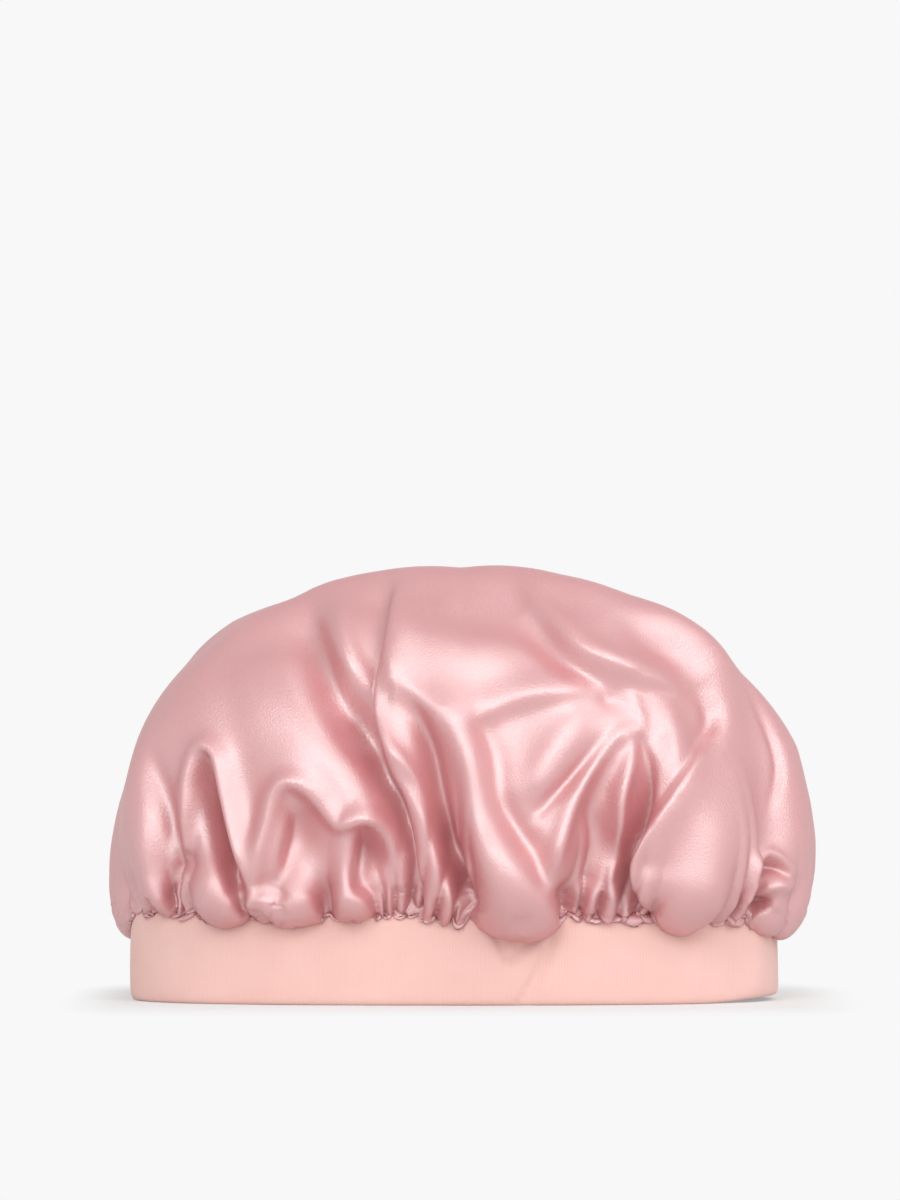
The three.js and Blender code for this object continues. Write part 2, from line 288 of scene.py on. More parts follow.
# How each point moves for one millimetre outward is the step from this oval to a wider one.
out_x, out_y = oval(turn, BAND_WIDTH + 2, BAND_DEPTH + 2, BAND_SQUARENESS)
flat_x, flat_y = oval(turn, BAND_WIDTH, BAND_DEPTH, BAND_SQUARENESS)
face = 1 - smooth(inset, FACE_OUT, FACE_IN)
dent = np.zeros_like(x)
for reach, line in BAND_CREASES:
    at_x = np.where(y < 0, x + BAND_SET, BACK_SHIFT - x)
    dent += fold_height(at_x, high, reach, line)
wave = share[:, None] * 2 * np.pi
slack = SLACK_WAVE * np.sin(SLACK_WAVES * wave + SLACK_START) * np.sin(np.pi * high / BAND_HEIGHT)
dent += slack + SLACK_RIPPLE * np.sin(SLACK_RIPPLES * wave + RIPPLE_START)
x = x + (out_x - flat_x) * dent * face + BAND_SET
y = y + (out_y - flat_y) * dent * face
lift = HEM_LIFT * smooth(x, LIFT_FROM, LIFT_TO) * (1 - smooth(high, 0, LIFT_TALL))
points = np.stack([x, y, high + lift], -1).reshape(-1, 3)
corner = np.arange(BAND_COLUMNS * rows).reshape(BAND_COLUMNS, rows)
after = np.roll(corner, -1, axis=0)
band_quads = np.stack([corner[:, :-1], corner[:, 1:], after[:, 1:], after[:, :-1]], -1).reshape(-1, 4)

# Cotton jersey: knitted, so it is matt with a soft bloom, in fine upright wales. The real wales are
# about 0.5 mm apart, too fine to show, so they are drawn at 1 mm.
cotton_jersey, tree = new_material("cotton_jersey")
cloth = add_node(tree, "ShaderNodeUVMap", {"uv_map": "strip"})
wales = add_node(
    tree,
    "ShaderNodeTexWave",
    {"bands_direction": "X", "Scale": math.pi / (10 * JERSEY_WALE * MM), "Distortion": 1.2, "Detail": 2.0},
    {"Vector": cloth.outputs["UV"]},
)
lint = add_node(
    tree,
    "ShaderNodeTexNoise",
    {"Scale": 1 / (JERSEY_LINT * MM), "Detail": 3.0},
    {"Vector": cloth.outputs["UV"]},
)
dye = add_node(
    tree,
    "ShaderNodeTexNoise",
    {"Scale": 1 / (JERSEY_MOTTLE * MM), "Detail": 3.0},
    {"Vector": cloth.outputs["UV"]},
)
knit = add_node(
    tree,
    "ShaderNodeMix",
    {"data_type": "FLOAT", 0: 0.6},
    {2: wales.outputs["Fac"], 3: lint.outputs["Fac"]},
)
tone = add_node(
    tree,
    "ShaderNodeMix",
    {"data_type": "FLOAT", 0: 0.55},
    {2: dye.outputs["Fac"], 3: knit.outputs[0]},
)
# The darker colour comes partly from random mottle, and partly is painted shade in the grooves between the
# wales and in the dips of the lint.
shade = add_node(
    tree,
    "ShaderNodeMix",
    {"data_type": "RGBA", 6: linear(JERSEY_DARK_AND_GROOVE_SHADE), 7: linear(JERSEY_LIGHT)},
    {"Factor": tone.outputs[0]},
)
relief = add_node(
    tree, "ShaderNodeBump", {"Strength": 0.35, "Distance": 0.12 * MM}, {"Height": knit.outputs[0]}
)
surface = add_node(
    tree,
    "ShaderNodeBsdfPrincipled",
    {"Roughness": 0.9, "IOR": 1.5, "Specular IOR Level": 0.25, "Sheen Weight": 0.2, "Sheen Roughness": 0.6},
    {"Base Color": shade.outputs[2], "Normal": relief.outputs["Normal"]},
)
add_node(tree, "ShaderNodeOutputMaterial", {}, {"Surface": surface.outputs["BSDF"]})

band = mesh_piece("band", points, band_quads, cotton_jersey)


def lay_out(piece, name, places, scale):
    """A UV map of each point's place on the flat cloth, in metres."""
    layer = piece.data.uv_layers.new(name=name)
    corners = np.empty(len(piece.data.loops), int)
    piece.data.loops.foreach_get("vertex_index", corners)
    layer.data.foreach_set("uv", (np.asarray(places)[corners] * scale).astype(np.float32).ravel())


strip_along = np.repeat(share * SEAM_GIRTH, rows)
strip_across = np.tile(np.linspace(0, section_length, rows), BAND_COLUMNS)
lay_out(band, "strip", np.stack([strip_along, strip_across], 1), MM)
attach(band, "root")
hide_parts("band_jersey")

THREAD_PEACH = "#f7c6bb"
PEACH_TWIST = "#dca79b"
peach_thread = spun_thread("peach_polyester_thread", THREAD_PEACH, PEACH_TWIST)
finish_node("band_join_stitches", peach_thread)

# The crown: a disc of pink polyester satin, 400 mm across, gathered all round into the band.
# It is limp, so it stands up only in rolls and pockets, and droops over the seam in puffs.
CROWN_WIDTH = 254.0
CROWN_DEPTH = 136.0
CROWN_TOP = 154.0
CROWN_SQUARENESS = 2.3
# It is widest at this height, and its edge is sewn in this far behind the band's face.
CROWN_LEVEL = 50.0
SEAM_DRAW = 2.3
# The disc's diameter, and how many points of the settling sheet lie across it.
DISC = 400.0
CROWN_GRID = 161
# Pinches of the seam across the front, and the puffs between: the middle and half width of each,
# how far it droops, and the half width and squareness of its droop.
FRONT_PINCHES = [-117, -111, -104, -100.5, -96, -76, -47, -31, -28, -24.5, -20, -15, -9, -3, 3]
FRONT_PINCHES += [38, 43, 49.5, 57, 63, 68, 89, 94, 100]
PUFFS = [
    (-124, 7, 8, 7, 3),
    (-110, 6, 0, 6, 3),
    (-86, 10, 1.5, 10, 3),
    (-64, 12, 3.5, 11, 1.5),
    (-38, 6.5, 0.5, 6.5, 4),
    (20, 17, 7, 17, 4),
    (79, 14, 5.5, 9, 1.4),
    (113, 12, 13, 11, 2.5),
]
# The folds: their reach to each side, then points of x, z and height, which is less than 0 in a valley.
FOLDS = {
    "flank_valley": (
        (12, 4.5),
        [
            (-57, 145, -4), (-51, 130, -8), (-45, 116, -10), (-38, 101, -9), (-33, 88, -4), (-29, 76, 0),
        ],
    ),
    "flank_ridge": ((6, 5), [(-45, 150, 1), (-43, 133, 3), (-38, 118, 3), (-34, 108, 1)]),
    "centre_edge": (
        (8, 2.6),
        [
            (-25, 155, -1), (-28, 143, -3), (-31, 130, -4), (-34, 119, -6), (-35, 107, -9),
            (-33, 96, -11), (-29, 84, -11), (-24, 74, -11), (-21, 63, -10), (-19, 52, -7), (-17, 42, -6),
            (-16, 35, -4),
        ],
    ),
    "centre_ridge": ((4, 9), [(-24, 154, 1), (-24, 140, 4), (-25, 127, 4), (-25, 117, 3)]),
    "centre_roll": (
        (8, 13),
        [
            (-22, 116, 2), (-16, 110, 5), (-8, 104, 7), (-2, 98, 8), (3, 88, 8), (6, 78, 8), (8, 66, 8),
            (12, 54, 8), (17, 42, 4), (20, 34, 1),
        ],
    ),
    "lens_valley": (
        (4, 4),
        [
            (-22, 111, -1), (-16, 103, -4), (-12, 93, -6), (-10, 83, -7), (-8, 70, -8), (-6, 58, -11),
            (-2, 47, -10), (2, 38, -5),
        ],
    ),
    "lens_ridge": (
        (5, 5),
        [
            (-32, 103, 1), (-27, 93, 4), (-22, 86, 5), (-16, 72, 5), (-13, 61, 5), (-8, 47, 4),
            (-4, 37, 2),
        ],
    ),
    "lens_crease": ((2.5, 2.5), [(-25, 89, 0), (-19, 80, -2.5), (-13, 69, 0)]),
    "left_soft_valley": (
        (9, 9),
        [
            (-88, 132, 0), (-85, 112, -1.2), (-81, 93, -1.6), (-77, 72, -2), (-74, 56, 0),
        ],
    ),
    "pocket_rim": (
        (2.5, 5),
        [
            (-99, 57, 3), (-98, 70, 4.5), (-97, 82, 4.5), (-93, 92, 4.5), (-88, 88, 5), (-85, 77, 5.5),
            (-82, 64, 5.5), (-79, 52, 5), (-75, 38, 3),
        ],
    ),
    "pocket": ((4, 3.5), [(-92, 88, -4), (-91, 78, -10), (-89, 67, -13), (-86, 56, -12), (-81, 44, -7)]),
    "arches": (
        (3, 6),
        [
            (-73, 39, 2), (-72, 53, 4), (-69, 66, 4.5), (-66, 76, 4.5), (-62, 80, 4), (-55, 77, 4),
            (-49, 70, 3.5), (-44, 65, 3.5), (-39, 66, 4.5), (-34, 67, 5), (-28, 62, 5), (-25, 54, 4),
            (-23, 45, 2),
        ],
    ),
    "left_dent": ((6, 9), [(-62, 79, 0), (-60, 72, -4), (-58, 63, -9), (-60, 53, -8), (-64, 43, -3)]),
    "middle_dent": ((5, 5), [(-34, 66, 0), (-34, 60, -6), (-33, 53, -10), (-35, 44, -5)]),
    "left_swell": ((9, 9), [(-115, 90, 1), (-116, 75, 3), (-115, 58, 3), (-113, 46, 1)]),
    "left_valley": ((4, 5), [(-114, 97, 0), (-110, 82, -3), (-104, 64, -4), (-100, 51, -4)]),
    "left_pleat": ((3, 4), [(-103, 52, 0), (-103, 46, -3), (-103, 39, -2)]),
    "roll_hollow": (
        (6, 6),
        [
            (6, 103, -2), (11, 90, -4), (13, 77, -5), (16, 69, -6), (22, 60, -6), (27, 53, -5),
            (32, 45, -5), (38, 36, -3),
        ],
    ),
    "shelf_edge": (
        (5, 10),
        [
            (-1, 105, 1), (7, 105, 3), (17, 109, 3), (28, 112, 3), (39, 114, 3), (49, 116, 2),
            (57, 118, 1),
        ],
    ),
    "shelf_facet": ((9, 9), [(43, 108, 0), (38, 97, 3), (29, 82, 3), (26, 72, 0)]),
    "strip_valley": (
        (3.5, 3.5),
        [
            (57, 100, 0), (50, 94, -2.5), (41, 84, -3.5), (32, 75, -3), (26, 68, -1),
        ],
    ),
    "strip_ridge": (
        (4, 4),
        [
            (61, 99, 1), (53, 95, 3), (45, 84, 4), (39, 72, 4.5), (35, 61, 4.5), (32, 51, 4), (32, 44, 2),
        ],
    ),
    "gather_hollow": ((6, 6), [(56, 90, -1), (51, 79, -3), (48, 69, -4.5), (50, 58, -5.5), (47, 47, -4)]),
    "gather_ridge": (
        (4, 3),
        [
            (62, 98, 1), (60, 86, 4), (57, 74, 5), (56, 63, 5), (53, 50, 4), (51, 43, 2),
        ],
    ),
    "right_valley": (
        (5, 2.5),
        [
            (64, 95, -2), (67, 86, -4), (66, 74, -8), (62, 62, -10), (58, 52, -10), (61, 42, -7),
            (66, 35, -3),
        ],
    ),
    "panel_edge": (
        (2, 10),
        [
            (88, 95, 1), (81, 84, 4), (73, 72, 6), (66, 61, 7), (61, 52, 7), (64, 42, 5), (69, 35, 1),
        ],
    ),
    "right_panel": ((18, 16), [(95, 103, 1.5), (96, 83, 2.5), (93, 61, 3), (87, 45, 2), (81, 33, 0)]),
    "right_facet": ((6, 7), [(72, 110, 1), (75, 99, 3.5), (76, 86, 3), (74, 75, 0)]),
    "shoulder_dent": ((5, 5), [(87, 112, -2), (90, 103, -4), (86, 94, -2)]),
    "crisp_ridge": (
        (4, 8),
        [
            (23, 152, 1), (28, 142, 4), (36, 134, 5), (44, 127, 5), (54, 122, 5), (64, 118, 4.5),
            (72, 115, 3), (82, 111, 0),
        ],
    ),
    "crisp_hollow": ((9, 4), [(24, 141, 0), (31, 131, -3), (39, 123, -4), (49, 117, -4), (58, 112, -1)]),
    "shoulder_hollow": ((9, 9), [(55, 143, -1), (67, 134, -4), (78, 127, -4), (88, 118, -1)]),
    "shoulder_ridge": ((7, 7), [(62, 149, 0), (77, 140, 2.5), (90, 131, 3), (96, 121, 3), (99, 110, 1)]),
    "crumple_dent": ((5, 4), [(49, 112, 0), (54, 110, -1.5), (60, 107, 0)]),
    "crumple_ridge": ((2.5, 3), [(57, 116, 0), (63, 107, 1.5), (67, 95, 0)]),
    "crumple_pleat": ((2, 2), [(66, 116, 0), (71, 113, -1.5), (77, 111, 0)]),
    "side_edge": (
        (2.5, 3),
        [
            (99, 33, 1), (101, 42, 3), (105, 51, 3.5), (111, 54, 3), (118, 49, 2), (121, 44, 0),
        ],
    ),
    "side_dent": ((2.5, 2.5), [(103, 44, 0), (107, 48, -4), (113, 49, -3.5), (118, 46, 0)]),
    "side_fold": ((3, 3), [(105, 41, 0), (110, 43, 3), (116, 43, 3), (121, 41, 0)]),
    "side_hollow": ((3, 3), [(101, 40, 0), (104, 37, -4), (109, 37, -4), (113, 36, 0)]),
    "back_crease": ((2.5, 3), [(101, 121, 0), (109, 105, -2.5), (115, 86, -2.5), (110, 66, 0)]),
}
# Deep folds tuck in under the roll beside them: how far to the right for each millimetre of depth.
TUCKS = {"centre_edge": 0.45, "lens_valley": 0.4, "right_valley": 0.4, "pocket": 0.15, "left_dent": -0.2}
crown_x, crown_y = oval(round_angles, CROWN_WIDTH, CROWN_DEPTH, CROWN_SQUARENESS)
crown_shares = arc_shares(crown_x, crown_y)[0]
# The arch is measured along a section between the crown's half width and half depth.
ARCH_HALF = 100.0
arch_angles = np.linspace(0, np.pi / 2, 2001)
arch_x, arch_z = oval(arch_angles, 2 * ARCH_HALF, 2 * (CROWN_TOP - CROWN_LEVEL), CROWN_SQUARENESS)
arch_shares = arc_shares(arch_x, arch_z)[0]
front_shares = np.linspace(0, 0.5, 501)
front_x = np.interp(front_shares, seam_shares, seam_x) + BAND_SET
front_along = front_shares * SEAM_GIRTH - SEAM_GIRTH / 4


def disc_grid(count):
    """A square grid bent to a disc: each point's place on it, its radius and angle, and the quads."""
    side = np.linspace(-1, 1, count)
    u, v = np.meshgrid(side, side, indexing="ij")
    x = (u * np.sqrt(1 - v * v / 2)).ravel()
    y = (v * np.sqrt(1 - u * u / 2)).ravel()
    corner = np.arange(count * count).reshape(count, count)
    quads = np.stack([corner[:-1, :-1], corner[1:, :-1], corner[1:, 1:], corner[:-1, 1:]], axis=-1)
    return np.stack([x, y], 1), np.minimum(np.hypot(x, y), 1), np.arctan2(y, x), quads.reshape(-1, 4)


def crown_turn(angle):
    """The oval's angle for angles round the disc: equal turns take equal shares of the crown's girth."""
    return np.interp((angle + np.pi) / (2 * np.pi), crown_shares, round_angles)


def seam_place(angle):
    """Distance along the seam from the middle of the front, for angles round the disc."""
    along = np.interp(crown_turn(angle), round_angles, seam_shares) * SEAM_GIRTH - SEAM_GIRTH / 4
    return (along + SEAM_GIRTH / 2) % SEAM_GIRTH - SEAM_GIRTH / 2


disc, radius, angle, crown_quads = disc_grid(CROWN_GRID)
turn = crown_turn(angle)
along = seam_place(angle)
wide_x, wide_y = oval(turn, CROWN_WIDTH, CROWN_DEPTH, CROWN_SQUARENESS)
rim_x, rim_y = oval(turn, BAND_WIDTH - 2 * SEAM_DRAW, BAND_DEPTH - 2 * SEAM_DRAW, BAND_SQUARENESS)
rim_x = rim_x + BAND_SET

# The plain shape: an arched dome, then a roll over the band that dips where a puff droops. The roll
# takes this outer share of the disc, and the satin lies lowest at these shares of the roll.
ROLL_SHARE = 0.3
ROLL_EASE = 1.25
LOWEST = 0.28
TIGHT_LOWEST = 0.06
SEAM_ABOVE = 0.4
SEAM_Z = BAND_HEIGHT + SEAM_ABOVE
TIGHT_DROOP = 1.6
TIGHT_TOP = 95.0
# Powers for the roundness of the roll: how it sags in a puff, how fast puffs and pleats spread from the
# seam, and how sharply a puff ends.
PUFF_SAG = 0.6
PUFF_ROUND = 2.3
PUFF_EDGE = 4
TIGHT_ROUND = 0.7
dome = radius < 1 - ROLL_SHARE
arch = 1 - np.clip(radius / (1 - ROLL_SHARE), 0, 1)
inward = np.interp(arch, arch_shares, arch_x) / ARCH_HALF
upward = np.interp(arch, arch_shares, arch_z)
roll = np.clip((1 - radius) / ROLL_SHARE, 0, 1) ** ROLL_EASE
droop = np.zeros_like(radius)
puffed = np.zeros_like(radius)
for at, reach, amount, droop_reach, squareness in PUFFS:
    for turned in (0, SEAM_GIRTH / 2):
        off = along - np.interp(at, front_x, front_along) - turned
        off = np.abs((off + SEAM_GIRTH / 2) % SEAM_GIRTH - SEAM_GIRTH / 2)
        droop += amount * np.exp(-((off / droop_reach) ** squareness))
        puffed = np.maximum(puffed, np.exp(-((off / reach) ** PUFF_EDGE)))
dip = droop * (roll / LOWEST) * np.exp(1 - roll / LOWEST) * (1 - roll)
tight_roll = roll / TIGHT_LOWEST
dip += TIGHT_DROOP * (1 - puffed) * tight_roll * np.exp(1 - tight_roll)
roll_z = SEAM_Z + (CROWN_LEVEL - SEAM_Z) * roll ** (1 + PUFF_SAG * puffed) - dip
z = np.where(dome, CROWN_LEVEL + upward, roll_z)
puff_spread = 1 - (1 - roll) ** PUFF_ROUND
tight_spread = np.clip((z - SEAM_Z) / (TIGHT_TOP - SEAM_Z), 0, 1) ** TIGHT_ROUND
spread = puffed * puff_spread + (1 - puffed) * tight_spread
x = rim_x + (wide_x * inward - rim_x) * np.where(z < TIGHT_TOP, spread, 1)
y = rim_y + (wide_y * inward - rim_y) * np.where(z < TIGHT_TOP, spread, 1)
points = np.stack([x, y, z], 1)


def normals_of(points, quads, evening=0):
    """The directions square to the sheet at its points, evened out over their neighbours."""
    a, b, c, d = (points[quads[:, i]] for i in range(4))
    faces = np.cross(c - a, d - b)
    normals = np.zeros_like(points)
    for i in range(4):
        np.add.at(normals, quads[:, i], faces)
    normals /= np.linalg.norm(normals, axis=1, keepdims=True) + 1e-12
    count = math.isqrt(len(points))
    for _ in range(evening):
        wide = np.pad(normals.reshape(count, count, 3), ((1, 1), (1, 1), (0, 0)), mode="edge")
        normals = (wide[:-2, 1:-1] + wide[2:, 1:-1] + wide[1:-1, :-2] + wide[1:-1, 2:]).reshape(-1, 3)
        normals /= np.linalg.norm(normals, axis=1, keepdims=True) + 1e-12
    return normals


# Between close pinches the satin stands in tight pleats, and between wide ones in low scallops. How tall
# and deep they are grows with the distance between the pinches.
PLEAT_WIDEST = 9.0
PLEAT_TALL, PLEAT_TALLER = 12.0, 2.5
PLEAT_DEEPER = 0.55
SCALLOP_TALL, SCALLOP_TALLER = 4.0, 0.6
SCALLOP_DEEPER, SCALLOP_DEEPEST = 0.16, 3.5
SCALLOP_ROUND = 0.8
# Fine wrinkles fan up from the stitches: how far apart they are, how they lean and where they start.
WRINKLE_HIGH = 0.14
WRINKLE_TALL = 13.0
WRINKLES = [(7.3, 0.05, 0.4), (4.9, -0.07, 2.1), (3.4, 0.04, 4.0)]


def gathers(along, climb, from_rim, places):
    """Height of the pleats, scallops and fine wrinkles, dying out up the crown."""
    at = (along - places[0]) % SEAM_GIRTH + places[0]
    index = np.clip(np.searchsorted(places, at, side="right") - 1, 0, len(places) - 2)
    wide = (places[1:] - places[:-1])[index]
    scallop = np.sin(np.pi * np.clip((at - places[index]) / wide, 0, 1)) ** SCALLOP_ROUND
    tight = wide < PLEAT_WIDEST
    fine = np.zeros_like(at)
    for across, lean, start in WRINKLES:
        fine += np.sin(2 * np.pi * at / across + lean * climb + start)
    tall = np.where(tight, PLEAT_TALL + PLEAT_TALLER * wide, SCALLOP_TALLER * wide + SCALLOP_TALL)
    deep = np.where(tight, PLEAT_DEEPER * wide, np.minimum(SCALLOP_DEEPER * wide, SCALLOP_DEEPEST))
    wrinkles = WRINKLE_HIGH * fine * np.exp(-from_rim / WRINKLE_TALL)
    return deep * scallop * np.exp(-((climb / tall) ** 2)) + wrinkles


# The pinches go on round the sides and back at chance spacings, from a fixed seed.
PINCH_SPACINGS = [5, 6, 7, 12, 18, 24]
LAST_SPACING = 6
chance = np.random.default_rng(5)
pinches = list(np.interp(FRONT_PINCHES, front_x, front_along))
last_pinch = pinches[0] + SEAM_GIRTH
while True:
    following = pinches[-1] + chance.choice(PINCH_SPACINGS)
    if following > last_pinch - LAST_SPACING:
        break
    pinches.append(following)
pinches = np.array(pinches + [last_pinch])

# The folds fade toward the two ends, within this depth, and folds and pleats fade at the stitches,
# within these shares of the disc's radius.
FOLD_DEPTH = 22.0
FOLD_FADE = 0.045
PLEAT_FADE = 0.012


def press(points, quads, radius, along, share, tuck, narrowing, evening):
    """Presses a share of the folds and gathers in, square to the crown, and tucks the deep ones
    sideways; the back's are the front's turned round."""
    fold_x = np.where(points[:, 1] < 0, points[:, 0], -points[:, 0])
    facing = smooth(np.abs(points[:, 1]), 0, FOLD_DEPTH)
    height = np.zeros(len(points))
    aside = np.zeros(len(points))
    for name, (reach, line) in FOLDS.items():
        narrow = [side * narrowing for side in reach]
        fold = facing * smooth(1 - radius, 0, FOLD_FADE) * fold_height(fold_x, points[:, 2], narrow, line)
        height += fold
        aside += tuck * TUCKS.get(name, 0) * np.abs(fold)
    climb = np.maximum(points[:, 2] - BAND_HEIGHT, 0)
    pleats = gathers(along, climb, DISC / 2 * (1 - radius), pinches)
    height = share * (height + pleats * smooth(1 - radius, 0, PLEAT_FADE))
    pressed = points + normals_of(points, quads, evening) * height[:, None]
    pressed[:, 0] += np.where(points[:, 1] < 0, aside, -aside)
    return pressed


points = press(points, crown_quads, radius, along, share=0.55, tuck=0, narrowing=1, evening=0)

# Polyester satin: long smooth floats of bright yarn, so it is glossy along soft folds, with a fine
# grain in the highlights. The yarns are 0.1 mm apart, too fine to show, so the grain is drawn at 0.5
# by 0.8 mm. Its IOR is set above polyester's usual 1.6, to match the strength of its sheen.
SATIN_DARK = "#c27073"
SATIN_LIGHT = "#cd7b7e"
SATIN_MOTTLE = 25.0
GRAIN_ACROSS, GRAIN_ALONG, GRAIN_HIGH = 0.5, 0.8, 0.2
polyester_satin, tree = new_material("polyester_satin")
cloth = add_node(tree, "ShaderNodeUVMap", {"uv_map": "disc"})
yarns = add_node(
    tree,
    "ShaderNodeMapping",
    {"Scale": (1 / (GRAIN_ACROSS * MM), 1 / (GRAIN_ALONG * MM), 1)},
    {"Vector": cloth.outputs["UV"]},
)
grain = add_node(
    tree, "ShaderNodeTexNoise", {"Scale": 1.0, "Detail": 3.0}, {"Vector": yarns.outputs["Vector"]}
)
dye = add_node(
    tree,
    "ShaderNodeTexNoise",
    {"Scale": 1 / (SATIN_MOTTLE * MM), "Detail": 3.0},
    {"Vector": cloth.outputs["UV"]},
)
shade = add_node(
    tree,
    "ShaderNodeMix",
    {"data_type": "RGBA", 6: linear(SATIN_DARK), 7: linear(SATIN_LIGHT)},
    {"Factor": dye.outputs["Fac"]},
)
gloss = add_node(
    tree, "ShaderNodeMapRange", {"To Min": 0.28, "To Max": 0.58}, {"Value": grain.outputs["Fac"]}
)
relief = add_node(
    tree, "ShaderNodeBump", {"Strength": 1.0, "Distance": GRAIN_HIGH * MM}, {"Height": grain.outputs["Fac"]}
)
surface = add_node(
    tree,
    "ShaderNodeBsdfPrincipled",
    {"IOR": 2.3, "Specular IOR Level": 1.0, "Anisotropic": 0.3},
    {
        "Base Color": shade.outputs[2],
        "Roughness": gloss.outputs["Result"],
        "Normal": relief.outputs["Normal"],
    },
)
add_node(tree, "ShaderNodeOutputMaterial", {}, {"Surface": surface.outputs["BSDF"]})

# The satin settles as cloth, held only by its stitched rim: it grows, most near the seam, and so
# buckles into folds. It settles at ten times its size, with 0.3 mm between its layers at real size.
SETTLE_FRAMES = 24
SETTLE_TIMES = 10
LAYERS_APART = 0.3
GROWTH_EDGE, GROWTH_SEAM = 0.02, 0.16
SATIN_CLOTH = {
    "quality": 5,
    "mass": 0.02,
    "tension_stiffness": 50,
    "compression_stiffness": 50,
    "shear_stiffness": 20,
    "bending_stiffness": 0.8,
    "tension_damping": 5,
    "compression_damping": 5,
    "shear_damping": 5,
    "bending_damping": 0.5,
    "air_damping": 2,
    "vertex_group_mass": "held",
    "vertex_group_shrink": "fuller",
    "shrink_min": -GROWTH_EDGE,
    "shrink_max": -GROWTH_SEAM,
}


def settle(points, quads, held, fuller):
    """Settles a sheet as cloth, pinned where it is held, and gives the places its points take."""
    size = MM * SETTLE_TIMES
    piece = mesh_piece("settling", points * SETTLE_TIMES, quads, polyester_satin)
    piece.vertex_groups.new(name="held").add(np.nonzero(held)[0].tolist(), 1.0, "REPLACE")
    group = piece.vertex_groups.new(name="fuller")
    fuller = np.round(fuller, 2)
    for share in np.unique(fuller):
        group.add(np.nonzero(fuller == share)[0].tolist(), float(share), "REPLACE")
    cloth = piece.modifiers.new("cloth", "CLOTH")
    for name, value in SATIN_CLOTH.items():
        setattr(cloth.settings, name, value)
    cloth.settings.effector_weights.gravity = 0
    cloth.collision_settings.use_collision = False
    cloth.collision_settings.use_self_collision = True
    cloth.collision_settings.self_distance_min = LAYERS_APART * size
    cloth.collision_settings.self_friction = 2
    cloth.collision_settings.collision_quality = 2
    cloth.point_cache.frame_start = 1
    cloth.point_cache.frame_end = SETTLE_FRAMES
    for at in range(1, SETTLE_FRAMES + 1):
        bpy.context.scene.frame_set(at)
    settled = piece.evaluated_get(bpy.context.evaluated_depsgraph_get()).to_mesh()
    places = np.empty(3 * len(points))
    settled.vertices.foreach_get("co", places)
    bpy.data.objects.remove(piece)
    bpy.context.scene.frame_set(1)
    return places.reshape(-1, 3) / size


# How full it grows: a little on the front and back, beyond this depth, and most near the seam between
# the puffs. The stitches hold the rim from this share of the disc's radius.
FULLER_FACE, FULLER_SEAM, FULLER_POWER, PUFF_LESS = 0.1, 0.9, 5, 0.7
FACE_FROM, FACE_FULL = 8.0, 34.0
HELD_FROM = 0.985
facing = smooth(np.abs(points[:, 1]), FACE_FROM, FACE_FULL)
fuller = FULLER_FACE * facing + FULLER_SEAM * radius**FULLER_POWER * (1 - PUFF_LESS * puffed)
points = settle(points, crown_quads, radius > HELD_FROM, fuller)

# Satin bends smoothly, so small lumps above the gathers are evened out.
EVENING = 16
EVENED_WITHIN, EVENED_UP_TO = 0.65, 0.85
for _ in range(EVENING):
    wide = np.pad(points.reshape(CROWN_GRID, CROWN_GRID, 3), ((1, 1), (1, 1), (0, 0)), mode="edge")
    evened = (wide[:-2, 1:-1] + wide[2:, 1:-1] + wide[1:-1, :-2] + wide[1:-1, 2:]).reshape(-1, 3) / 4
    points += (evened - points) * (1 - smooth(radius, EVENED_WITHIN, EVENED_UP_TO))[:, None]

# The settled satin is brought back to its measured outline: points of it from the left to the right.
OUTLINE = [(-129.3, 46), (-127.5, 60), (-122.7, 80), (-115.8, 100), (-103, 120), (-84.4, 137)]
OUTLINE += [(-62.5, 146.5), (-51.5, 152), (-29.6, 156.7), (0, 157.8), (14, 158.5), (36, 155.6), (58, 150)]
OUTLINE += [(80, 140.6), (91, 133), (102, 119.5), (113, 107.4), (123.8, 91.3), (126.4, 80), (129.3, 60)]
OUTLINE += [(129.3, 46)]
OUTLINE_CENTRE = 45.0
# It is compared at this many angles round the centre, each over a narrow fan, and evened over five. The
# fit grows from the top of the band and is full at this height.
OUTLINE_ANGLES, FAN, EVENED_OVER = 61, 0.04, 5
FIT_FULL = 60.0
outline_x, outline_z = np.array(OUTLINE).T
outline_turn = np.arctan2(outline_z - OUTLINE_CENTRE, -outline_x)
outline_reach = np.hypot(outline_z - OUTLINE_CENTRE, outline_x)
point_turn = np.arctan2(points[:, 2] - OUTLINE_CENTRE, -points[:, 0])
point_reach = np.hypot(points[:, 2] - OUTLINE_CENTRE, points[:, 0])
turns = np.linspace(0, np.pi, OUTLINE_ANGLES)
reached = np.array([point_reach[np.abs(point_turn - turn) < FAN].max() for turn in turns])
reached = np.pad(reached, EVENED_OVER // 2, mode="edge")
reached = np.convolve(reached, np.ones(EVENED_OVER) / EVENED_OVER, "valid")
fit = np.interp(point_turn, turns, np.interp(turns, outline_turn, outline_reach) / reached)
fit = 1 + (fit - 1) * smooth(points[:, 2], BAND_HEIGHT, FIT_FULL)
points[:, 0] *= fit
points[:, 2] = OUTLINE_CENTRE + (points[:, 2] - OUTLINE_CENTRE) * fit

# The sheet is drawn twice as fine, and its folds are pressed once more, narrower and with their tucks.
for _ in range(2):
    points = curve_through(points.reshape(CROWN_GRID, -1), 2)
    points = points.reshape(len(points), -1, 3).swapaxes(0, 1)
points = points.reshape(-1, 3)
disc, radius, angle, crown_quads = disc_grid(2 * CROWN_GRID - 1)
points = press(
    points, crown_quads, radius, seam_place(angle), share=0.95, tuck=1, narrowing=0.85, evening=60
)

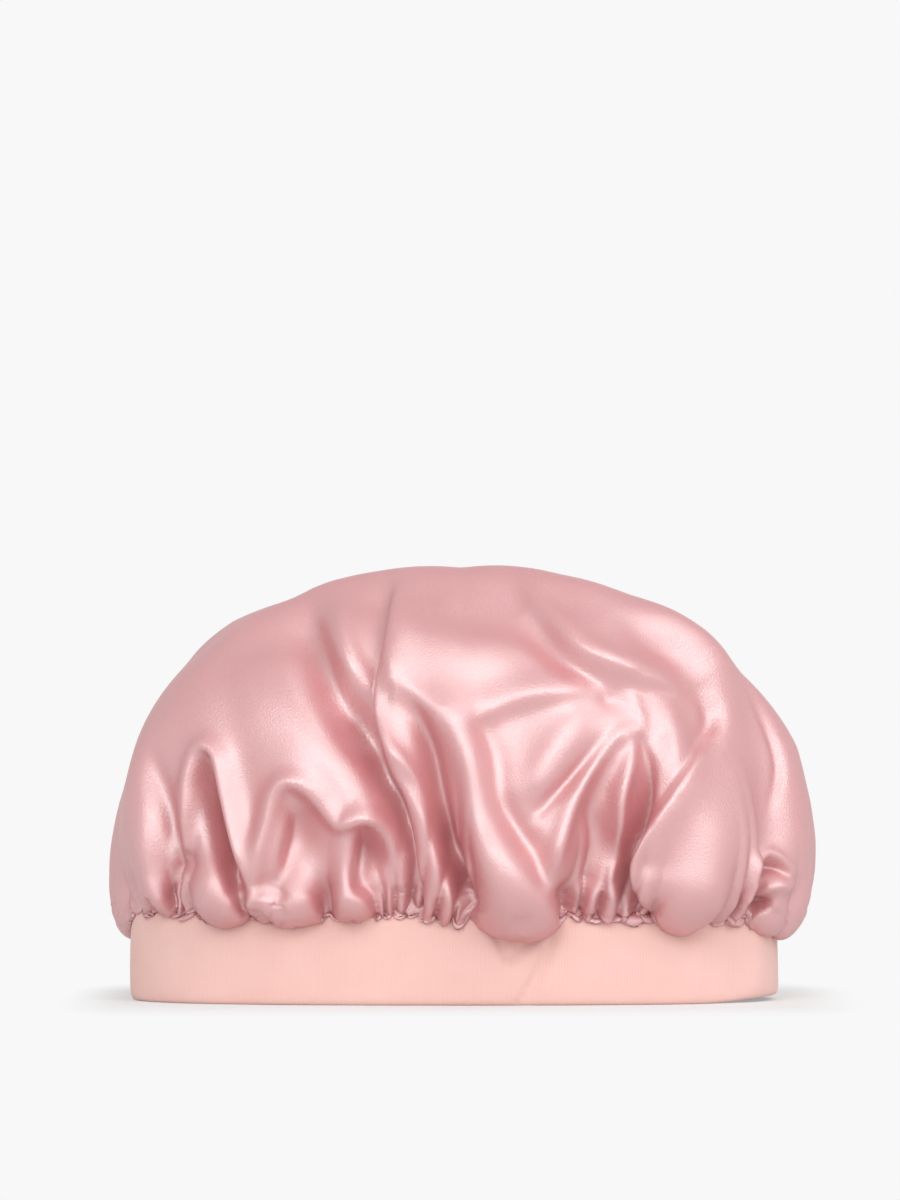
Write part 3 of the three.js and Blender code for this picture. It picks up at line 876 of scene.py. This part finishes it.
# It is kept off the band's face and outside the band's upper edge. The outer face is the first points
# of the band's section, from the top edge down, and the push fades at the stitches.
BAND_CLEAR = 0.6
EDGE_TOP = 42.0
FACE_POINTS = 8
PUSH_FADE = 0.015
edge_in, edge_high = np.array(BAND_SECTION[:FACE_POINTS]).T
edge_in = BAND_CLEAR - np.interp(points[:, 2], edge_high[::-1], edge_in[::-1])
clear_width, clear_depth = BAND_WIDTH / 2 + edge_in, BAND_DEPTH / 2 + edge_in
beside = (np.abs(points[:, 0] - BAND_SET) / clear_width) ** BAND_SQUARENESS
beside += (np.abs(points[:, 1]) / clear_depth) ** BAND_SQUARENESS
push = np.where(points[:, 2] < EDGE_TOP, np.maximum(beside ** (-1 / BAND_SQUARENESS), 1), 1)
push = 1 + (push - 1) * smooth(1 - radius, 0, PUSH_FADE)
points[:, 0] = BAND_SET + (points[:, 0] - BAND_SET) * push
points[:, 1] *= push

crown = mesh_piece("crown", points, crown_quads, polyester_satin)
lay_out(crown, "disc", disc, DISC / 2 * MM)
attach(crown, "root")
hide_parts("crown_satin")

# The lining: a second disc of the same satin, shiny side in, gathered into the seam with the crown.
# It is the satin's own form moved inward, so it follows the folds, and in the tightest gathers at the
# seam the two sheets cross.
LINING_INSIDE = 1.4
LINING_FADE = 0.02
inside = LINING_INSIDE * smooth(1 - radius, 0, LINING_FADE)
lining_points = points - normals_of(points, crown_quads) * inside[:, None]
lining = mesh_piece("lining", lining_points, crown_quads, polyester_satin)
lay_out(lining, "disc", disc, DISC / 2 * MM)
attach(lining, "root")
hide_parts("crown_lining")

# The seam: satin, lining and jersey edges sewn together and overlocked with pink thread.
# The edge stands up inside the crown, and a line of needle thread runs along its foot.
THREAD_PINK = "#dea6a7"
PINK_TWIST = "#c48689"
pink_thread = spun_thread("pink_polyester_thread", THREAD_PINK, PINK_TWIST)
finish_node("overlock_edge", pink_thread)
finish_node("seam_needle_thread", pink_thread)

# The studio: a pale paper floor under soft light, running out of view into a pale surround.
# The paper takes the shadow near the object, and further off it glows as pale as the surround.
PAPER = "#f8f8f8"
LIT_PAPER = "#e8e8e8"
FLOOR_REACH = 12.0
FLOOR_SIDES = 96
# The shadow's reach beyond the hem in metres, drawn in at the two ends, and the glow right at the hem.
SHADOW_REACH = 0.09
END_NARROWING = 3
HEM_GLOW = 0.35


def seen_directly(tree):
    """An output that is 1 for what the camera sees, also in a reflection or through a clear piece."""
    path = add_node(tree, "ShaderNodeLightPath")
    seen = path.outputs["Is Camera Ray"]
    for ray in ("Is Glossy Ray", "Is Transmission Ray"):
        either = add_node(tree, "ShaderNodeMath", {"operation": "MAXIMUM"}, {0: seen, 1: path.outputs[ray]})
        seen = either.outputs[0]
    return seen


# Matt paper: it scatters light evenly, so it has no shine.
backdrop_paper, tree = new_material("backdrop_paper")
place = add_node(tree, "ShaderNodeTexCoord")
aside = add_node(tree, "ShaderNodeVectorMath", {"operation": "ABSOLUTE"}, {0: place.outputs["Object"]})
aside = add_node(
    tree,
    "ShaderNodeVectorMath",
    {"operation": "SUBTRACT", 1: (BAND_WIDTH / 2 * MM, BAND_DEPTH / 2 * MM, 0)},
    {0: aside.outputs["Vector"]},
)
aside = add_node(
    tree, "ShaderNodeVectorMath", {"operation": "MAXIMUM", 1: (0, 0, 0)}, {0: aside.outputs["Vector"]}
)
aside = add_node(
    tree,
    "ShaderNodeVectorMath",
    {"operation": "MULTIPLY", 1: (END_NARROWING, 1, 1)},
    {0: aside.outputs["Vector"]},
)
distance = add_node(tree, "ShaderNodeVectorMath", {"operation": "LENGTH"}, {0: aside.outputs["Vector"]})
away = add_node(
    tree,
    "ShaderNodeMapRange",
    {"interpolation_type": "SMOOTHSTEP", "From Max": SHADOW_REACH, "To Min": HEM_GLOW},
    {"Value": distance.outputs["Value"]},
)
glowing = add_node(
    tree, "ShaderNodeMath", {"operation": "MULTIPLY"}, {0: seen_directly(tree), 1: away.outputs["Result"]}
)
lit = add_node(tree, "ShaderNodeBsdfDiffuse", {"Color": linear(LIT_PAPER)})
glow = add_node(tree, "ShaderNodeEmission", {"Color": linear(PAPER), "Strength": 1.0})
mixed = add_node(
    tree, "ShaderNodeMixShader", {}, {0: glowing.outputs[0], 1: lit.outputs[0], 2: glow.outputs[0]}
)
add_node(tree, "ShaderNodeOutputMaterial", {}, {"Surface": mixed.outputs[0]})
floor_turn = np.arange(FLOOR_SIDES) * 2 * np.pi / FLOOR_SIDES
round_floor = np.stack([np.cos(floor_turn), np.sin(floor_turn), 0 * floor_turn], 1) * FLOOR_REACH / MM
floor = mesh_piece("floor", round_floor, [range(FLOOR_SIDES)], backdrop_paper)

# The surround lights the object evenly, and what is seen of it is paper that darkens toward the top.
AMBIENT = 0.56
CEILING_FROM, CEILING_TO, CEILING_SHADE = 0.2, 0.6, 0.8
surround = bpy.data.worlds.new("pale_surround")
bpy.context.scene.world = surround
surround.use_nodes = True
tree = surround.node_tree
tree.nodes.clear()
ambient = add_node(tree, "ShaderNodeBackground", {"Color": linear("#ffffff"), "Strength": AMBIENT})
direction = add_node(tree, "ShaderNodeTexCoord")
height = add_node(tree, "ShaderNodeSeparateXYZ", {}, {0: direction.outputs["Generated"]})
ceiling = add_node(
    tree,
    "ShaderNodeMapRange",
    {"From Min": CEILING_FROM, "From Max": CEILING_TO, "To Min": 1.0, "To Max": CEILING_SHADE},
    {"Value": height.outputs["Z"]},
)
pale = add_node(
    tree, "ShaderNodeBackground", {"Color": linear(PAPER)}, {"Strength": ceiling.outputs["Result"]}
)
mixed = add_node(
    tree, "ShaderNodeMixShader", {}, {0: seen_directly(tree), 1: ambient.outputs[0], 2: pale.outputs[0]}
)
add_node(tree, "ShaderNodeOutputWorld", {}, {"Surface": mixed.outputs[0]})

# Softboxes stand at the front left, at the front right and high over the right side.
LAMP_AIM = Vector((0, 0, 0.08))


def softbox(name, place, width, height, power):
    """A soft studio lamp, sized in metres and lit in watts, turned to the middle of the object."""
    lamp = bpy.data.lights.new(name, "AREA")
    lamp.shape = "RECTANGLE"
    lamp.size = width
    lamp.size_y = height
    lamp.energy = power
    box = bpy.data.objects.new(name, lamp)
    bpy.context.scene.collection.objects.link(box)
    box.location = place
    box.rotation_euler = (LAMP_AIM - Vector(place)).to_track_quat("-Z", "Y").to_euler()


softbox("key", (-0.5, -1.8, 1.1), 1.4, 1.2, 16)
softbox("fill", (1.0, -1.5, 1.1), 1.0, 1.3, 12.5)
softbox("top", (0.8, -0.5, 1.7), 1.1, 0.9, 5.5)

# The camera stands level, 3 m in front, and frames the object as the photograph does.
PIXEL = 0.3653
PHOTO_WIDTH, PHOTO_HEIGHT = 900, 1200
MIDDLE_COLUMN, HEM_ROW = 461, 999
CAMERA_FAR = 3.0
SENSOR = 36.0
camera_data = bpy.data.cameras.new("camera")
camera_data.sensor_width = SENSOR
camera_data.lens = SENSOR * CAMERA_FAR / (PHOTO_HEIGHT * PIXEL * MM)
camera = bpy.data.objects.new("camera", camera_data)
bpy.context.scene.collection.objects.link(camera)
camera_x = (PHOTO_WIDTH / 2 - MIDDLE_COLUMN) * PIXEL * MM
camera.location = (camera_x, -CAMERA_FAR, (HEM_ROW - PHOTO_HEIGHT / 2) * PIXEL * MM)
camera.rotation_euler = (math.pi / 2, 0, 0)
bpy.context.scene.camera = camera
bpy.context.scene.view_settings.view_transform = "Standard"
